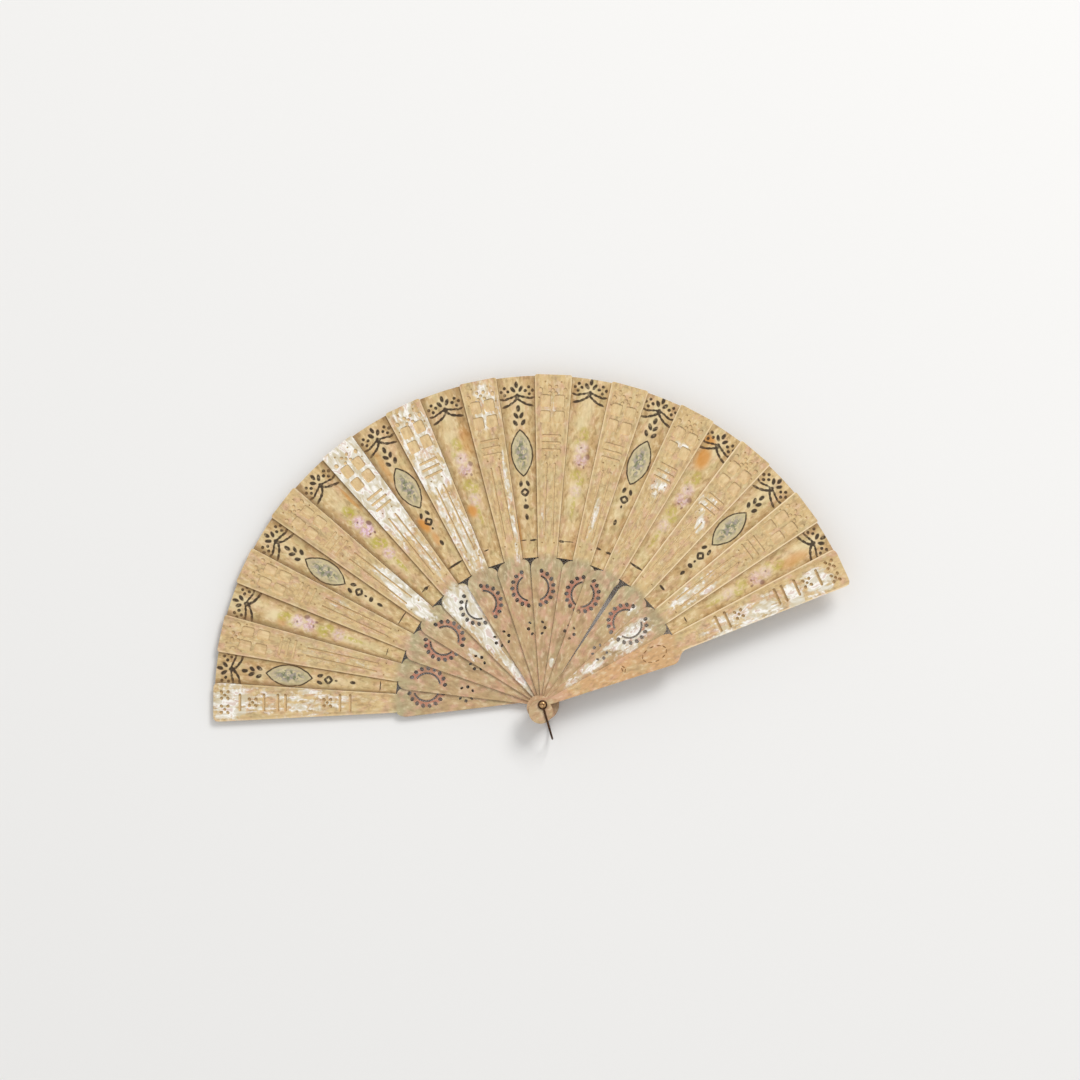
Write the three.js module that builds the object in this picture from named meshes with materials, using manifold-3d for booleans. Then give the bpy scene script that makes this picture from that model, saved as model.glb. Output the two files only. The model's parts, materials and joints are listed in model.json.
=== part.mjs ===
// Folding fan with pierced mother-of-pearl sticks and a pleated silk leaf, fully open.
// Millimetres. The origin is on the rivet's axis, at the flat rear face of the rivet.
// +Z points to the front of the fan and +Y along the middle of the open leaf.
// Sticks are counted from the rear guard at the left to the front guard at the right.

import * as THREE from 'three';
import { mergeVertices } from 'three/addons/utils/BufferGeometryUtils.js';
import Module from 'manifold-3d';

const wasm = await Module();
wasm.setup();

// The fan as a whole: lengths are distances from the rivet's axis
const stickLength = 260;
const leafInner = 116;
const leafOuter = 259;
const middleDirection = 90;

// Angle in degrees from each stick to the next: an old fan opens unevenly
const pleatOpenings = [12.15, 12.5, 12.9, 13.45, 13.45, 13.85, 13.3, 13.5, 12.55, 12.25, 12.95, 12.05];

// Angle in degrees that each blade has warped to the left of its rib
const bladeWarps = [0, -0.8, -0.5, 0, 0.3, 0.6, 1.1, -0.1, 0.6, 3.6, -0.1, 0.2, 0];

// Thicknesses and the gaps between layers
const stickThickness = 1.0;
const guardThickness = 2.0;
const silkThickness = 0.2;
const silkClearance = 0.1;
const glueGap = 0.05;
const runningGap = 0.1;

// The head, a disc whose centre lies beyond the rivet, and on the front guard also to its outer side
const headRadius = 9.5;
const headShift = 3.6;
const frontHeadAside = 4.2;
const boreRadius = 1.8;

// The blade, which widens from the rivet to rounded shoulders below the leaf: half widths
const neckLength = 0.9;
const shoulderHeight = 7.6;
const warpEase = 12;
const bladeRootHalf = 1.35;
const bladeShoulderHalf = 13;
const neckHalf = 6.9;

// The guards' blades are wider on one side: half widths of the outer and the covered side
const rearOuterRoot = -3;
const rearOuterShoulder = 10.6;
const rearCoveredRoot = 4.4;
const rearCoveredShoulder = 12.5;
const frontOuterRoot = 1.6;
const frontOuterShoulder = 14.6;
const frontInnerRoot = 2;
const frontInnerShoulder = 10.2;

// The rib, which carries the leaf on its back: half widths, the guards' last
const ribFootHalf = 7.4;
const ribTipHalf = 15;
const tipCorner = 2.6;
const guardFootHalf = 7.5;
const guardTipHalf = 15.6;
const guardTipCorner = 5;
const guardSweep = 13;

// Wreaths cut half in the right edge of an even blade and half in the left edge of the next
const wreathBelowShoulder = 15;
const wreathRadius = 11.8;
const wreathSlot = 2;
const wreathToEdge = 5;
const evenBeyondEdge = 0.6;
const oddInsideEdge = 2.2;
const beadRing = 15.4;
const beadRadius = 1.25;
const beadCount = 8;

// Sprigs of three holes lower down on the same blades
const sprigBelowWreath = 32;
const sprigRing = 5.8;
const sprigRadius = 1.1;
const sprigAngles = [-50, 0, 50];
const leftward = 180;

// Fretwork of the inner ribs: from the tip a floret, two rows of windows, rungs and slits
const floretBelowTip = 12;
const floretRing = 3.6;
const floretRadius = 1.5;
const petalCount = 4;
const sideLoopOffset = 9.6;
const sideLoopRadius = 1.9;
const windowsBelowFloret = 13.5;
const windowWidth = 8.2;
const windowHeight = 9.8;
const windowBar = 2.8;
const rungDrop = 10;
const rungPitch = 5.6;
const rungCount = 3;
const rungLength = 15;
const rungWidth = 2.1;
const slitDrop = 9;
const slitsAboveFoot = 17;
const slitWidth = 1.4;
const slitOffset = 3.2;

// Fretwork of the guards: florets by distance below the tip and offset, and bars by distance
const guardFlorets = [[9, -5.6], [9, 5.6], [31, 0], [90, 0]];
const guardBars = [21, 40, 51, 57, 100, 108];
const guardBarLength = 14;
const guardBarWidth = 2.2;

// The oval engraved in the front guard's blade
const etchedAboveWreath = 3.5;
const etchedLength = 21;
const etchedWidth = 11;
const etchedLine = 1.1;
const etchedDepth = 0.4;

// The silk beside a rib's edge
const edgeClearance = 0.3;
const silkInset = 0.4;
const silkTuck = 1.5;

// The rivet and the suspension bail
const pinRadius = 1.5;
const rivetHeadRadius = 2.6;
const rivetHeadThickness = 0.9;
const rivetDome = 0.5;
const rivetDimpleRadius = 0.55;
const eyeRadius = 3.8;
const bailWire = 1.6;
const bailReach = 29;
const bailDirection = 273.7;

// Number of facets on round stretches
const curveSteps = 3;
const boreSides = 12;
const wreathSteps = 7;
const beadSides = 5;
const pinSides = 20;
const wireSides = 8;
const bailSteps = 24;

// Sizes that follow from those above
const lastStick = pleatOpenings.length;
const silkRecess = silkThickness + 2 * glueGap;
const layerGap = silkThickness + 2 * silkClearance;
const recessStart = leafInner - edgeClearance;
const neckDistance = leafInner - neckLength;
const shoulderStart = neckDistance - shoulderHeight;
const wreathDistance = shoulderStart - wreathBelowShoulder;
const sprigDistance = wreathDistance - sprigBelowWreath;
const etchedDistance = wreathDistance + etchedAboveWreath;
const floretDistance = stickLength - floretBelowTip;
const windowsTop = floretDistance - windowsBelowFloret + windowHeight;
const windowsFoot = windowsTop - 2 * windowHeight - windowBar;
const rungsTop = windowsFoot - rungDrop;
const slitsTop = rungsTop - (rungCount - 1) * rungPitch - slitDrop;
const slitsFoot = leafInner + slitsAboveFoot;
const rearEyeBack = rivetHeadThickness + runningGap;
const rearGuardFront = rearEyeBack + bailWire + runningGap + guardThickness;
const frontGuardFront = stickFront(lastStick - 1) + layerGap + guardThickness;
const frontEyeBack = frontGuardFront + runningGap;
const frontHeadBack = frontEyeBack + bailWire + runningGap;

// Rib sizes and the two sides of the blade, for an inner stick and for the guards
const evenSide = { root: bladeRootHalf, shoulder: bladeShoulderHalf, aside: 0 };
const inner = {
  foot: ribFootHalf, tip: ribTipHalf, corner: tipCorner, thickness: stickThickness,
  left: evenSide, right: evenSide,
};
const guard = { foot: guardFootHalf, tip: guardTipHalf, corner: guardTipCorner, thickness: guardThickness };
const rearGuard = {
  ...guard,
  left: { root: rearOuterRoot, shoulder: rearOuterShoulder, aside: 0 },
  right: { root: rearCoveredRoot, shoulder: rearCoveredShoulder, aside: 0 },
};
const frontGuard = {
  ...guard,
  left: { root: frontInnerRoot, shoulder: frontInnerShoulder, aside: -frontHeadAside },
  right: { root: frontOuterRoot, shoulder: frontOuterShoulder, aside: frontHeadAside },
};

const axis = new THREE.Vector2(0, 0);
const radians = THREE.MathUtils.degToRad;
const degrees = THREE.MathUtils.radToDeg;

// Sizes of a stick, by its number
function sizesOf(index) {
  if (index === 0) {
    return rearGuard;
  }
  return index === lastStick ? frontGuard : inner;
}

// Height of the front face of a stick that isn't the front guard
function stickFront(index) {
  return rearGuardFront + index * (stickThickness + layerGap);
}

// Height of the rear face of any stick or guard
function stickBack(index) {
  const front = index === lastStick ? frontGuardFront : stickFront(index);
  return front - sizesOf(index).thickness;
}

// Direction of a stick's centre line, in degrees from +X
function stickDirection(index) {
  const sum = (openings) => openings.reduce((total, opening) => total + opening, 0);
  return middleDirection + sum(pleatOpenings) / 2 - sum(pleatOpenings.slice(0, index));
}

// Width of one side of a blade at a distance from the rivet
function bladeHalf({ root, shoulder }, distance) {
  return THREE.MathUtils.mapLinear(distance, 0, shoulderStart, root, shoulder);
}

// Half the width of a rib at a distance from the rivet
function ribHalf({ foot, tip }, distance) {
  return THREE.MathUtils.mapLinear(distance, leafInner, stickLength, foot, tip);
}

// A closed geometry as a solid that can be cut and joined
function toSolid(geometry) {
  const bare = geometry.clone();
  bare.deleteAttribute('normal');
  bare.deleteAttribute('uv');
  const merged = mergeVertices(bare, 1e-4);
  return new wasm.Manifold(new wasm.Mesh({
    numProp: 3,
    vertProperties: Float32Array.from(merged.attributes.position.array),
    triVerts: Uint32Array.from(merged.index.array),
  }));
}

function toGeometry(solid) {
  const mesh = solid.getMesh();
  const geometry = new THREE.BufferGeometry();
  geometry.setAttribute('position', new THREE.BufferAttribute(mesh.vertProperties, mesh.numProp));
  geometry.setIndex(new THREE.BufferAttribute(mesh.triVerts, 1));
  geometry.computeVertexNormals();
  return geometry;
}

// A flat outline raised from one height to another
function plate(outline, back, front) {
  const shape = outline instanceof THREE.Shape ? outline : new THREE.Shape(outline);
  const geometry = new THREE.ExtrudeGeometry(shape, { depth: front - back, bevelEnabled: false });
  return geometry.translate(0, 0, back);
}

// A solid with every outline cut out of it from one height to another
function cut(solid, outlines, back, front) {
  return outlines.reduce((left, outline) => left.subtract(toSolid(plate(outline, back, front))), solid);
}

// Points on an arc about a centre, from one angle to another in degrees
function arc(x, y, radius, start, end, steps) {
  const points = [];
  for (let step = 0; step <= steps; step += 1) {
    const angle = radians(start + (end - start) * step / steps);
    points.push(new THREE.Vector2(x + radius * Math.cos(angle), y + radius * Math.sin(angle)));
  }
  return points;
}

// A small hole or boss with equal sides
function round(x, y, radius, sides, turn = 0) {
  return arc(x, y, radius, turn, turn + 360, sides).slice(0, sides);
}

// An upright slot or window about its middle
function slot(x, y, width, height) {
  return [[-1, -1], [1, -1], [1, 1], [-1, 1]].map(
    ([across, along]) => new THREE.Vector2(x + across * width / 2, y + along * height / 2));
}

// Four petals round a middle hole
function floret(x, y) {
  const centres = round(x, y, floretRing, petalCount, 180 / petalCount);
  return [...centres, { x, y }].map((centre) => round(centre.x, centre.y, floretRadius, petalCount));
}

// Direction from the head's centre to where a blade's straight edge leaves the head's circle
function headJoin({ root, shoulder, aside }) {
  const slope = (shoulder - root) / shoulderStart;
  const inward = root - aside;
  const a = 1 + slope * slope;
  const b = inward * slope + headShift;
  const c = inward * inward + headShift * headShift - headRadius * headRadius;
  const y = (Math.sqrt(b * b - a * c) - b) / a;
  return Math.atan2(y + headShift, inward + slope * y);
}

// The right half of a stick, from the foot of the head to the middle of the tip
function halfOutline(sizes, side, swept) {
  const { foot, tip, corner } = sizes;
  const { shoulder, aside } = side;
  const shape = new THREE.Shape();
  shape.absarc(aside, -headShift, headRadius, -Math.PI / 2, headJoin(side), false);
  shape.lineTo(shoulder, shoulderStart);
  if (swept) {
    const end = shoulderStart + guardSweep;
    const middle = (shoulderStart + end) / 2;
    shape.bezierCurveTo(shoulder, middle, ribHalf(sizes, end), middle, ribHalf(sizes, end), end);
  } else {
    shape.quadraticCurveTo(shoulder, neckDistance, neckHalf, neckDistance);
    shape.lineTo(foot, leafInner);
  }
  shape.lineTo(ribHalf(sizes, stickLength - corner), stickLength - corner);
  shape.quadraticCurveTo(tip, stickLength, tip - corner, stickLength);
  shape.lineTo(0, stickLength);
  return shape.getPoints(curveSteps);
}

// The whole outline: only the front guard's outer edge sweeps from blade to rib
function stickOutline(index) {
  const sizes = sizesOf(index);
  const right = halfOutline(sizes, sizes.right, index === lastStick);
  const left = halfOutline(sizes, sizes.left, false).slice(1, -1).reverse();
  return [...right, ...left.map((point) => new THREE.Vector2(-point.x, point.y))];
}

// Offset of a wreath's or sprig's middle from a blade's centre line, on its right or left side
function wreathOffset(side, distance) {
  const edge = bladeHalf(evenSide, distance);
  return side > 0 ? edge + evenBeyondEdge : oddInsideEdge - edge;
}

// The half of a wreath that one blade holds: its slot and beads stop short of the blade's edge
function halfWreath(side) {
  const offset = wreathOffset(side, wreathDistance);
  const inside = bladeHalf(evenSide, wreathDistance) - side * offset;
  const start = side > 0 ? leftward : 0;
  const sweep = (radius) => degrees(Math.acos((wreathToEdge - inside) / radius));
  const halfRing = (radius, turn, steps) => arc(
    offset, wreathDistance, radius, start - turn, start + turn, steps);
  const slotTurn = sweep(wreathRadius);
  const ring = [
    ...halfRing(wreathRadius + wreathSlot / 2, slotTurn, wreathSteps),
    ...halfRing(wreathRadius - wreathSlot / 2, slotTurn, wreathSteps).reverse(),
  ];
  const beads = halfRing(beadRing, sweep(beadRing), beadCount - 1);
  return [ring, ...beads.map((bead) => round(bead.x, bead.y, beadRadius, beadSides))];
}

// Three holes on half a ring, opening the same way
function halfSprig(side) {
  const offset = wreathOffset(side, sprigDistance);
  return sprigAngles.map((turn) => {
    const [centre] = arc(offset, sprigDistance, sprigRing, side > 0 ? leftward + turn : turn, 0, 1);
    return round(centre.x, centre.y, sprigRadius, beadSides);
  });
}

// What is pierced in a blade: wreaths join sticks 0 and 1, 2 and 3 and so on
function bladePiercing(index) {
  if (index === lastStick) {
    return [];
  }
  const side = index % 2 === 0 ? 1 : -1;
  return [...halfWreath(side), ...halfSprig(side)];
}

// What is pierced in an inner rib
function ribFretwork() {
  const cuts = floret(0, floretDistance);
  [-1, 1].forEach((side) => {
    cuts.push(round(side * sideLoopOffset, floretDistance, sideLoopRadius, 4));
    cuts.push(slot(side * slitOffset, (slitsFoot + slitsTop) / 2, slitWidth, slitsTop - slitsFoot));
    [windowsTop - windowHeight / 2, windowsFoot + windowHeight / 2].forEach((middle) => {
      cuts.push(slot(side * (windowWidth + windowBar) / 2, middle, windowWidth, windowHeight));
    });
  });
  for (let rung = 0; rung < rungCount; rung += 1) {
    cuts.push(slot(0, rungsTop - rung * rungPitch, rungLength, rungWidth));
  }
  return cuts;
}

// What is pierced in a guard's rib
function guardFretwork() {
  return [
    ...guardFlorets.flatMap(([below, offset]) => floret(offset, stickLength - below)),
    ...guardBars.map((below) => slot(0, stickLength - below, guardBarLength, guardBarWidth)),
  ];
}

// Turns the points of a warped blade about the rivet and leaves its rib straight
function warped(outline, warp) {
  return outline.map((point) => {
    const share = (leafInner - point.length()) / warpEase;
    return point.clone().rotateAround(axis, radians(warp * THREE.MathUtils.clamp(share, 0, 1)));
  });
}

// An oval line as a shape with a hole
function ovalLine() {
  const oval = (width, length) => new THREE.EllipseCurve(0, etchedDistance, width / 2, length / 2)
    .getPoints(4 * curveSteps).slice(1);
  const line = new THREE.Shape(oval(etchedWidth, etchedLength));
  line.holes.push(new THREE.Path(oval(etchedWidth - 2 * etchedLine, etchedLength - 2 * etchedLine)));
  return line;
}

// A stick or guard, pierced and with the back of its rib cut down for the silk
function stickGeometry(index) {
  const { thickness, tip } = sizesOf(index);
  const fretwork = sizesOf(index) === inner ? ribFretwork() : guardFretwork();
  const piercing = [round(0, 0, boreRadius, boreSides), ...bladePiercing(index), ...fretwork];
  const bend = (outline) => warped(outline, bladeWarps[index]);
  const blank = toSolid(plate(bend(stickOutline(index)), 0, thickness));
  const pierced = cut(blank, piercing.map(bend), -thickness, 2 * thickness);
  const recess = slot(0, recessStart + stickLength / 2, 4 * tip, stickLength);
  const recessed = cut(pierced, [recess], -thickness, silkRecess);
  const engraving = index === lastStick ? [ovalLine()] : [];
  return toGeometry(cut(recessed, engraving, thickness - etchedDepth, 2 * thickness));
}

// A line beside a rib's right or left edge, in a frame turned by some degrees
function besideRib(index, side, offset, turn) {
  return (distance) => new THREE.Vector2(side * (ribHalf(sizesOf(index), distance) + offset), distance)
    .rotateAround(axis, radians(turn));
}

// The stretch of leaf between two such lines, from the leaf's inner to its outer edge
function leafOutline(left, right, steps) {
  const edge = (distance) => arc(
    0, 0, distance, degrees(right(distance).angle()), degrees(left(distance).angle()), steps);
  return [...edge(leafOuter), ...edge(leafInner).reverse()];
}

// The leaf glued to the back of a rib, with a lip round the rib's right edge
function gluedSilk(index) {
  const left = besideRib(index, -1, -silkInset, 0);
  const sheet = (right) => toSolid(plate(
    leafOutline(left, right, 2 * curveSteps), glueGap, glueGap + silkThickness));
  if (index === lastStick) {
    return toGeometry(sheet(besideRib(index, 1, -silkInset, 0)));
  }
  const lipInner = besideRib(index, 1, edgeClearance, 0);
  const lipOuter = besideRib(index, 1, edgeClearance + silkThickness, 0);
  const lip = plate(leafOutline(lipInner, lipOuter, 1), glueGap, sizesOf(index).thickness);
  return toGeometry(sheet(lipOuter).add(toSolid(lip)));
}

// The free pleat between two ribs, drawn about the middle of its opening
function freePleat(index) {
  const turn = pleatOpenings[index - 1] / 2;
  const left = besideRib(index - 1, 1, edgeClearance, turn);
  const right = besideRib(index, -1, -silkTuck, -turn);
  return plate(leafOutline(left, right, 2 * curveSteps), 0, silkThickness);
}

// The middle line of the bail's wire, a U that straddles the stack of sticks
class BailLine extends THREE.Curve {
  getPoint(t, target = new THREE.Vector3()) {
    const bow = (frontEyeBack - rearEyeBack) / 2;
    const middle = (frontEyeBack + rearEyeBack + bailWire) / 2;
    const start = boreRadius + bailWire / 2;
    const centre = bailReach - bailWire / 2 - bow;
    const straight = centre - start;
    const total = 2 * straight + Math.PI * bow;
    const gone = THREE.MathUtils.clamp(t, 0, 1) * total;
    if (gone < straight) {
      return target.set(start + gone, 0, middle - bow);
    }
    if (gone > total - straight) {
      return target.set(start + total - gone, 0, middle + bow);
    }
    const turn = (gone - straight) / bow - Math.PI / 2;
    return target.set(centre + bow * Math.cos(turn), 0, middle + bow * Math.sin(turn));
  }
}

// The bail: a wire bent to a U with a flat eye on each end, drawn pointing along +X
function bailGeometry() {
  const section = new THREE.Shape(round(0, 0, bailWire / 2, wireSides));
  const wire = new THREE.ExtrudeGeometry(section, { steps: bailSteps, extrudePath: new BailLine() });
  const eye = (back) => toSolid(plate(round(0, 0, eyeRadius, pinSides), back, back + bailWire));
  const whole = toSolid(wire).add(eye(rearEyeBack)).add(eye(frontEyeBack));
  return toGeometry(cut(whole, [round(0, 0, boreRadius, boreSides)], 0, frontHeadBack));
}

// A profile of distances from the axis and heights, turned about Z
function turned(profile) {
  const points = profile.map(([distance, height]) => new THREE.Vector2(distance, height));
  return new THREE.LatheGeometry(points, pinSides).rotateX(Math.PI / 2);
}

// The rivet's front head, a low dome with a dimple where the pin was closed
function domedHead() {
  const dome = rivetHeadThickness + rivetDome;
  return turned([
    [0, 0],
    [rivetHeadRadius, 0],
    [rivetHeadRadius, rivetHeadThickness / 2],
    [(rivetHeadRadius + rivetDimpleRadius) / 2, dome],
    [rivetDimpleRadius, dome],
    [rivetDimpleRadius / 2, rivetHeadThickness],
    [0, rivetHeadThickness],
  ]);
}

// The rivet's rear head, flat behind with a softened rim
function flatHead() {
  const soft = rivetHeadThickness / 3;
  return turned([
    [0, 0],
    [rivetHeadRadius - soft, 0],
    [rivetHeadRadius, soft],
    [rivetHeadRadius, rivetHeadThickness],
    [0, rivetHeadThickness],
  ]);
}

function pinGeometry() {
  const length = frontHeadBack - rivetHeadThickness;
  return turned([[0, 0], [pinRadius, 0], [pinRadius, length], [0, length]]);
}

const pearl = { color: 0xd2b68e, roughness: 0.3, metalness: 0 };
const silk = { color: 0xc9ab7a, roughness: 0.9, metalness: 0 };
const darkMetal = { color: 0x3a2a20, roughness: 0.4, metalness: 0.9 };
const paleMetal = { color: 0xc8a882, roughness: 0.35, metalness: 0.8 };

const fan = new THREE.Group();

// Adds a named piece at its height, turned about the rivet
function place(name, geometry, finish, turn, height) {
  const mesh = new THREE.Mesh(geometry, new THREE.MeshStandardMaterial(finish));
  mesh.name = name;
  mesh.rotation.z = radians(turn);
  mesh.position.z = height;
  fan.add(mesh);
}

// Name of a stick or guard
function stickName(index) {
  if (index === 0) {
    return 'rear_guard';
  }
  return index === lastStick ? 'front_guard' : `stick_${index}`;
}

for (let index = 0; index <= lastStick; index += 1) {
  const turn = stickDirection(index) - 90;
  place(stickName(index), stickGeometry(index), pearl, turn, stickBack(index));
  place(`${stickName(index)}_silk`, gluedSilk(index), silk, turn, stickBack(index));
}

for (let index = 1; index <= lastStick; index += 1) {
  const turn = (stickDirection(index - 1) + stickDirection(index)) / 2 - 90;
  place(`pleat_${index}`, freePleat(index), silk, turn, stickFront(index - 1) + silkClearance);
}

place('rivet_pin', pinGeometry(), paleMetal, 0, rivetHeadThickness);
place('rivet_rear_head', flatHead(), paleMetal, 0, 0);
place('rivet_front_head', domedHead(), paleMetal, 0, frontHeadBack);
place('suspension_bail', bailGeometry(), darkMetal, bailDirection, 0);

export default fan;
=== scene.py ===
# Folding fan with pierced mother-of-pearl sticks and a printed silk leaf, lying open on its back.
# Each piece is drawn in millimetres, pointing along +Y from the rivet, then set in its place in metres.
import json
import math
import bmesh
import bpy
from mathutils import Matrix, Vector, noise
from mathutils.geometry import interpolate_bezier


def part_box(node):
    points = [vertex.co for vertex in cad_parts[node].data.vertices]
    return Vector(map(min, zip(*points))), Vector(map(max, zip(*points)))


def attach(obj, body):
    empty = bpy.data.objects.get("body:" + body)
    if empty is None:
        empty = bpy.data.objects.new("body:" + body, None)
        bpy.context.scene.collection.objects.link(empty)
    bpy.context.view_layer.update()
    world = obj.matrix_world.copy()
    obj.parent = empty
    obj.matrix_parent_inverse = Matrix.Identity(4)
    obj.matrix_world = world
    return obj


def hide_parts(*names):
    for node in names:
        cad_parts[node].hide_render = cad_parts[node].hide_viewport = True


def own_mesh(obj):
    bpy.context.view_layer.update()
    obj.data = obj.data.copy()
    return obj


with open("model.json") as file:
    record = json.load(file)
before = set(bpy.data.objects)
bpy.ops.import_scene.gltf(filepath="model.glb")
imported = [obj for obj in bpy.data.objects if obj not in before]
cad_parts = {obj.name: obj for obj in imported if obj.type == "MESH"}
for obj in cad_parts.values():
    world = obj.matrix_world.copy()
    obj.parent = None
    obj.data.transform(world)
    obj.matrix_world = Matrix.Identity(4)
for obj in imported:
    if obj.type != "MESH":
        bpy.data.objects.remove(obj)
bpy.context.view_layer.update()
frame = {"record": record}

# View, floor and light
# The fan is seen straight from above, turned a little to the left, at the size of its photograph.
# The light is plain: an even sky, and one large soft lamp from the upper right of the picture.
bpy.context.scene.view_settings.view_transform = "Standard"
image_side = 1080
rivet_pixel = (542.55, 704.4)
pixel_on_fan = 0.000788
fan_turn = math.radians(12.22)
stack_middle = 0.0126
lens, sensor = 160, 36
fan_middle = Vector((0, 0.12, 0))
lamp_bearing, lamp_elevation = math.radians(58) - fan_turn, math.radians(40)
lamp_distance, lamp_side, lamp_power = 5.0, 1.8, 140
sky_on_fan, sky_seen = 0.68, 1.0
floor_side = 6.0


def set_out(name, data):
    """A new object that stands in the scene."""
    made = bpy.data.objects.new(name, data)
    bpy.context.scene.collection.objects.link(made)
    return made


def paint(red, green, blue):
    """A colour as a painter reads it, 0 to 255, as the light that it gives back."""
    shares = [part / 255 for part in (red, green, blue)]
    return (*[((share + 0.055) / 1.055) ** 2.4 if share > 0.04 else share / 12.92 for share in shares], 1)


def new_finish(name):
    """A material and its shader."""
    material = bpy.data.materials.new(name)
    material.use_nodes = True
    return material, material.node_tree.nodes["Principled BSDF"]


def feed(node, given):
    """Links outputs to a node's inputs, or sets inputs to values, in order or by name."""
    for socket, value in given.items() if isinstance(given, dict) else enumerate(given):
        if isinstance(value, bpy.types.NodeSocket):
            node.id_data.links.new(value, node.inputs[socket])
        else:
            node.inputs[socket].default_value = value
    return node


def add_node(kind, given=(), tree=None, **settings):
    """A new node, in a given tree or else in the tree of the first output that feeds it."""
    values = given.values() if isinstance(given, dict) else given
    tree = tree or next(value.id_data for value in values if isinstance(value, bpy.types.NodeSocket))
    made = tree.nodes.new(f"ShaderNode{kind}")
    for setting, value in settings.items():
        setattr(made, setting, value)
    return feed(made, given)


camera_data = bpy.data.cameras.new("camera")
camera_data.lens = lens
camera_data.sensor_width = sensor
camera = set_out("camera", camera_data)
picture_middle = Vector((image_side / 2 - rivet_pixel[0], rivet_pixel[1] - image_side / 2, 0)) * pixel_on_fan
camera.location = Matrix.Rotation(-fan_turn, 4, "Z") @ picture_middle
camera.location.z = stack_middle + image_side * pixel_on_fan * lens / sensor
camera.rotation_euler = (0, 0, -fan_turn)
bpy.context.scene.camera = camera

lamp_data = bpy.data.lights.new("upper_right_lamp", "AREA")
lamp_data.size = lamp_side
lamp_data.energy = lamp_power
lamp = set_out("upper_right_lamp", lamp_data)
toward_lamp = Vector((math.cos(lamp_bearing) * math.cos(lamp_elevation),
                      math.sin(lamp_bearing) * math.cos(lamp_elevation), math.sin(lamp_elevation)))
lamp.location = fan_middle + toward_lamp * lamp_distance
lamp.rotation_euler = toward_lamp.to_track_quat("Z", "Y").to_euler()

world = bpy.data.worlds.new("studio")
bpy.context.scene.world = world
world.use_nodes = True
seen = add_node("LightPath", tree=world.node_tree).outputs["Is Camera Ray"]
sky_strength = add_node("Mix", {"Factor": seen, "A": sky_on_fan, "B": sky_seen})
feed(world.node_tree.nodes["Background"], {"Color": (1, 1, 1, 1), "Strength": sky_strength.outputs["Result"]})

bm = bmesh.new()
bmesh.ops.create_grid(bm, x_segments=1, y_segments=1, size=floor_side / 2)
floor_mesh = bpy.data.meshes.new("floor")
bm.to_mesh(floor_mesh)
bm.free()
floor_paint, floor_shader = new_finish("pale_floor")
feed(floor_shader, {"Base Color": paint(238, 237, 235), "Roughness": 0.8})
floor_mesh.materials.append(floor_paint)
floor = set_out("floor", floor_mesh)

# Rivet, rear head and pin
# A brass rod that holds the thirteen heads together. Its rear end is hammered to a flat head,
# on which the fan lies level; the rod runs through every head and both eyes of the bail.
millimetre = 0.001
in_metres = Matrix.Scale(millimetre, 4)
behaviour = frame["record"]["behaviour"]
body_of_node = {node: body for body, nodes in behaviour["bodies"].items() for node in nodes}
pin_radius = 1.5
rear_dome = [(0, 0), (2.1, 0), (2.3, 0.05), (2.5, 0.18), (2.6, 0.36)]


def height_of(node):
    """Back and front of a node, in millimetres above the rivet's rear face."""
    low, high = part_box(node)
    return low.z / millimetre, high.z / millimetre


def turned(profile, closed=False, steps=48, bm=None):
    """Spins pairs of distance and height in millimetres about the rivet, in a new mesh or a given one."""
    bm = bmesh.new() if bm is None else bm
    verts = [bm.verts.new((distance, 0, height)) for distance, height in profile]
    edges = [bm.edges.new(pair) for pair in zip(verts, verts[1:])]
    if closed:
        edges.append(bm.edges.new((verts[-1], verts[0])))
    bmesh.ops.spin(bm, geom=verts + edges, axis=(0, 0, 1), angle=2 * math.pi, steps=steps, use_merge=True)
    bmesh.ops.remove_doubles(bm, verts=bm.verts, dist=1e-4)
    bmesh.ops.recalc_face_normals(bm, faces=bm.faces)
    return bm


def show(name, bm, node, finishes, place=in_metres, crease=35):
    """Sets in a mesh drawn in millimetres for a CAD node, and lets it ride on that node's body."""
    bm.transform(place)
    mesh = bpy.data.meshes.new(name)
    bm.to_mesh(mesh)
    bm.free()
    mesh.shade_smooth()
    mesh.set_sharp_from_angle(angle=math.radians(crease))
    for finish in finishes:
        mesh.materials.append(finish)
    piece = set_out(name, mesh)
    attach(piece, body_of_node[node])
    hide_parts(node)
    return piece


def maths(operation, *values):
    return add_node("Math", values, operation=operation).outputs[0]


def times(*values):
    """The product of two or more values."""
    product = values[0]
    for value in values[1:]:
        product = maths("MULTIPLY", product, value)
    return product


def fade(value, start, end):
    """0 where value is at start and 1 where it is at end, with a soft turn at both."""
    given = {"Value": value, "From Min": start, "From Max": end}
    return add_node("MapRange", given, interpolation_type="SMOOTHSTEP").outputs["Result"]


def lay(place, location=(0, 0, 0), turn=0, scale=(1, 1, 1), kind="POINT"):
    given = {"Vector": place, "Location": location, "Rotation": (0, 0, math.radians(turn)), "Scale": scale}
    return add_node("Mapping", given, vector_type=kind).outputs["Vector"]


def place_on_piece(shader, turn=0):
    """Places in millimetres on the piece that a shader is for, turned about the rivet."""
    whole = add_node("TexCoord", tree=shader.id_data).outputs["Object"]
    return lay(whole, turn=turn, scale=(1 / millimetre,) * 3)


def cloud(place, size, detail=3, distortion=0):
    """Smooth random values with features of about one size in millimetres."""
    given = {"Vector": place, "Scale": 1 / size, "Detail": detail, "Distortion": distortion}
    return add_node("TexNoise", given).outputs["Fac"]


def tones(value, *stops):
    """A run of painter's colours over a value, as pairs of place and colour."""
    made = add_node("ValToRGB", [value])
    ramp = made.color_ramp
    ramp.interpolation = "EASE"
    for place, _ in stops[2:]:
        ramp.elements.new(place)
    for element, (place, colour) in zip(ramp.elements, stops):
        element.position = place
        element.color = paint(*colour)
    return made.outputs["Color"]


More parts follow.
